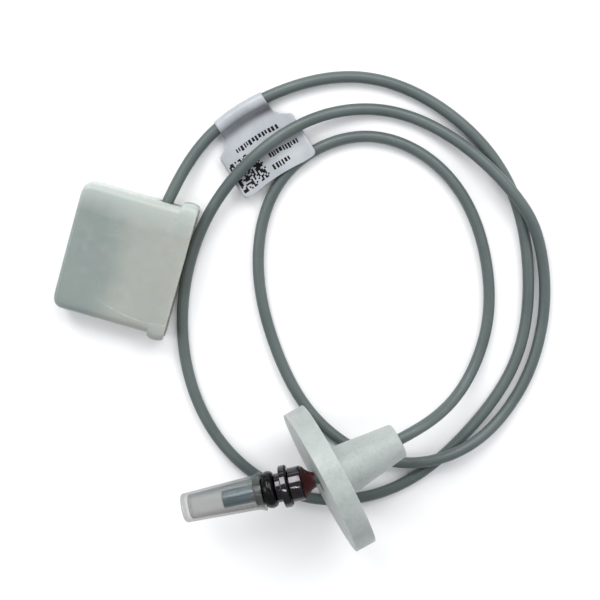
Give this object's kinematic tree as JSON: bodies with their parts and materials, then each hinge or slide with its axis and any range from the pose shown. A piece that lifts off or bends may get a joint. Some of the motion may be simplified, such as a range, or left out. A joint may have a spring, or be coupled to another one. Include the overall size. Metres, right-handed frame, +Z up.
{
  "type": "flame sensor probe",
  "caption": "Flame sensing probe with a clear tip cap and a sealing ring, a turned mounting flange on its grey lead, a flag label and a covered plug.",
  "frame": {"origin": "on the surface that the set lies on, under the middle of the probe and flange's box without the free lead and plug", "axes": "+X from the probe's capped tip towards the flange's boss, +Z up"},
  "size_m": [0.1727, 0.161, 0.0523],
  "materials": {
    "flange_plastic": "turned milky fluoropolymer, faintly waxy",
    "cap_clear": "clear, slightly grey moulded plastic",
    "cover_plastic": "natural soft plastic, cloudy, light satin",
    "black_nickel": "polished dark nickel plate",
    "filter_glass": "dark blue filter glass, polished",
    "black_rubber": "smooth black rubber with an oily shine",
    "seal_maroon": "soft maroon sealing compound",
    "lead_jacket": "grey-green satin cable jacket",
    "core_insulation": "red insulation",
    "label_film": "white film with a light satin",
    "housing_plastic": "beige moulded plastic, fine texture",
    "contact_brass": "turned brass pins",
    "cell_metal": "nickel-plated can and leads",
    "board_green": "solder mask on glass laminate",
    "chip_black": "black moulding compound",
    "screw_steel": "zinc-plated steel"
  },
  "bodies": {
    "root": {"flange": "flange_plastic", "probe_body": "black_nickel", "rear_sleeve": "black_nickel", "sealing_ring": "black_rubber", "rear_seal": "seal_maroon", "sensor_tube": "filter_glass", "front_window": "filter_glass", "photo_cell": "cell_metal", "cell_pin_1": "cell_metal", "cell_pin_2": "cell_metal", "circuit_board": "board_green", "board_chip": "chip_black", "body_core_1": "core_insulation", "body_core_2": "core_insulation", "body_lead": "lead_jacket", "lead_cable": "lead_jacket", "flag_label": "label_film", "plug_housing_lower": "housing_plastic", "plug_housing_upper": "housing_plastic", "housing_screw_1": "screw_steel", "housing_screw_2": "screw_steel", "contact_block": "chip_black", "contact_1": "contact_brass", "contact_2": "contact_brass", "contact_3": "contact_brass", "contact_4": "contact_brass", "contact_5": "contact_brass", "plug_lead_tail": "lead_jacket", "cable_clamp": "chip_black", "plug_core_1": "core_insulation", "plug_core_2": "core_insulation"},
    "tip_cap": {"tip_cap": "cap_clear"},
    "plug_cover": {"plug_cover": "cover_plastic"}
  },
  "joints": [
    {"name": "tip_cap_slide", "type": "slide", "parent": "root", "child": "tip_cap", "axis": [-0.9726, -0.2299, -0.0349], "range_m": [0, 0.03]},
    {"name": "cover_slide", "type": "slide", "parent": "root", "child": "plug_cover", "axis": [-0.9603, 0.279, 0], "range_m": [0, 0.034]}
  ]
}
